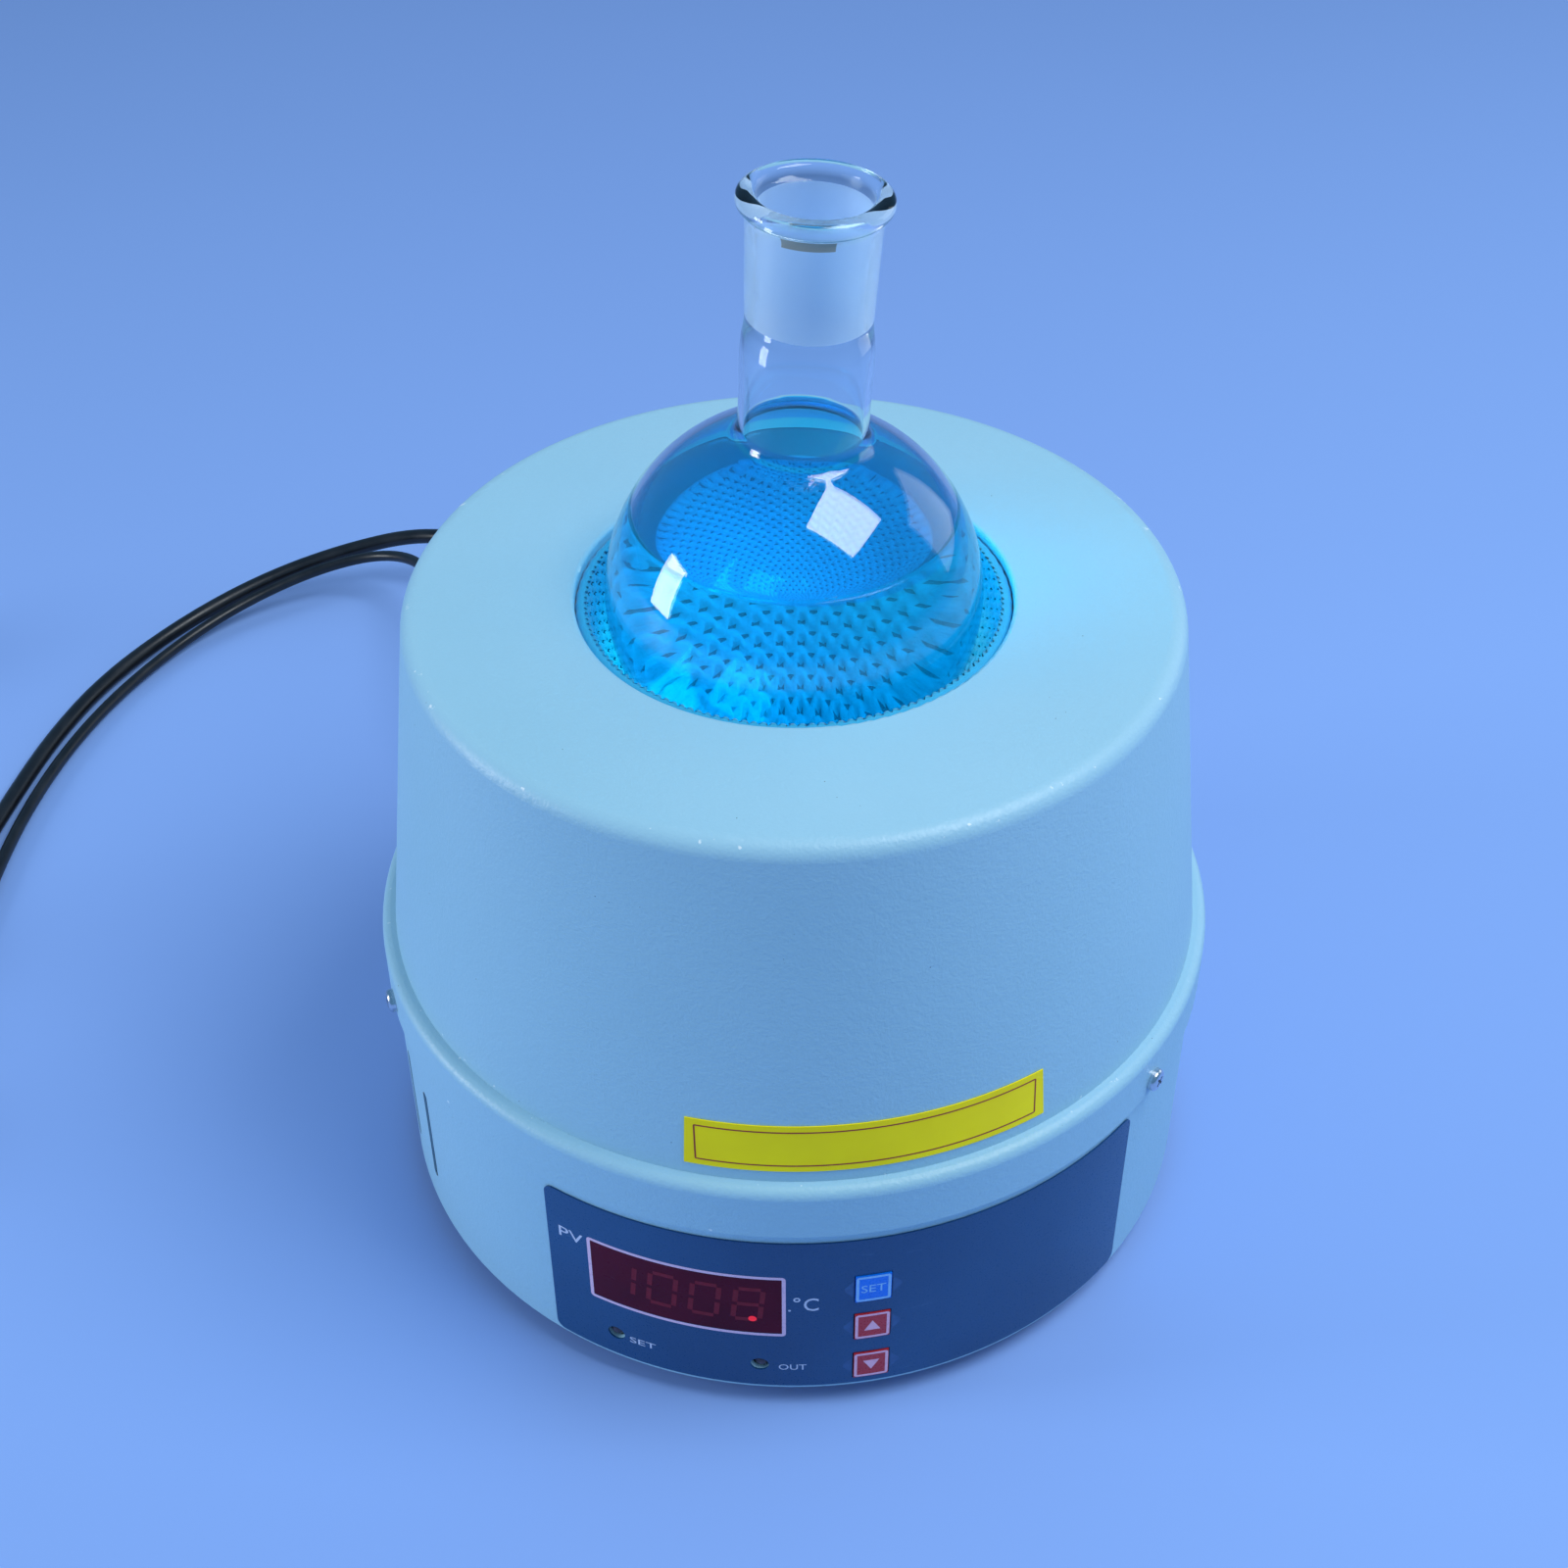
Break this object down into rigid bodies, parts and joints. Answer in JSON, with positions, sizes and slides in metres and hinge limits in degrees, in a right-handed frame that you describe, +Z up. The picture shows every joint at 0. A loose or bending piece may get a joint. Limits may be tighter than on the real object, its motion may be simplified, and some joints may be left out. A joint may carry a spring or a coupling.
{
  "type": "electric heating mantle",
  "caption": "Round-well electric heating mantle with a digital temperature panel, holding a round-bottom flask of blue liquid, with its mains and sensor leads.",
  "frame": {"origin": "centre of the mantle on the surface that its feet stand on", "axes": "+Z up along the well's centre line, -Y towards the middle of the control panel, +X to the right as seen from the front"},
  "size_m": [0.5242, 0.4515, 0.3227],
  "materials": {
    "shell_paint": "fine textured pale powder coat",
    "plate_metal": "plain zinc-coated sheet",
    "pan_metal": "plain",
    "screw_steel": "bright plated",
    "foot_rubber": "matte black",
    "woven_fibre": "knitted glass-fibre cloth",
    "wool": "fibrous",
    "clear_glass": "clear, ground inside the socket",
    "blue_liquid": "clear blue liquid",
    "panel_film": "satin printed film",
    "display_red": "dark red tinted",
    "module_black": "gloss black",
    "board_green": "solder-resist green",
    "lamp_dark": "unlit diffused lens",
    "key_blue": "satin",
    "key_red": "satin",
    "switch_black": "satin",
    "strip_yellow": "plain sticker",
    "black_plastic": "satin moulded",
    "iron_core": "laminated, varnished",
    "winding_tape": "taped coil",
    "white_ceramic": "glazed",
    "cable_black": "satin jacket",
    "probe_steel": "drawn"
  },
  "bodies": {
    "mantle": {"upper_shell": "shell_paint", "base_shell": "shell_paint", "base_plate": "plate_metal", "foot_front_right": "foot_rubber", "foot_rear_right": "foot_rubber", "foot_rear_left": "foot_rubber", "foot_front_left": "foot_rubber", "foot_screws": "screw_steel", "base_plate_screws": "screw_steel", "seam_screws": "screw_steel", "heating_bowl": "woven_fibre", "insulation": "wool", "insulation_pan": "pan_metal", "pan_posts": "plate_metal", "flask": "clear_glass", "flask_liquid": "blue_liquid", "control_panel": "panel_film", "display_filter": "display_red", "display_module": "module_black", "display_board": "board_green", "set_lamp": "lamp_dark", "out_lamp": "lamp_dark", "key_board": "board_green", "key_switches": "switch_black", "board_studs": "plate_metal", "yellow_strip": "strip_yellow", "power_switch_frame": "black_plastic", "fuse_holder": "black_plastic", "sensor_socket": "screw_steel", "mains_strain_relief": "black_plastic", "sensor_connector": "screw_steel", "transformer_core": "iron_core", "transformer_winding": "winding_tape", "heat_sink": "pan_metal", "triac": "switch_black", "heater_terminals": "white_ceramic", "mains_cord": "cable_black", "mains_coil": "cable_black", "mains_tail": "cable_black", "mains_plug": "black_plastic", "sensor_cord": "cable_black", "sensor_coil": "cable_black", "sensor_tail": "cable_black", "sensor_probe": "probe_steel"},
    "set_key": {"set_key": "key_blue"},
    "up_key": {"up_key": "key_red"},
    "down_key": {"down_key": "key_red"},
    "rocker": {"power_rocker": "black_plastic"}
  },
  "joints": [
    {"name": "set_key_press", "type": "slide", "parent": "mantle", "child": "set_key", "axis": [-0.0314, 0.9995, 0], "range_m": [0, 0.0005], "stiffness_N_per_m": 1500},
    {"name": "up_key_press", "type": "slide", "parent": "mantle", "child": "up_key", "axis": [-0.0314, 0.9995, 0], "range_m": [0, 0.0005], "stiffness_N_per_m": 1500},
    {"name": "down_key_press", "type": "slide", "parent": "mantle", "child": "down_key", "axis": [-0.0314, 0.9995, 0], "range_m": [0, 0.0005], "stiffness_N_per_m": 1500},
    {"name": "rocker_tilt", "type": "hinge", "parent": "mantle", "child": "rocker", "pos_m": [0, 0.122, 0.042], "axis": [-1, 0, 0], "range_deg": [-16, 0]}
  ]
}
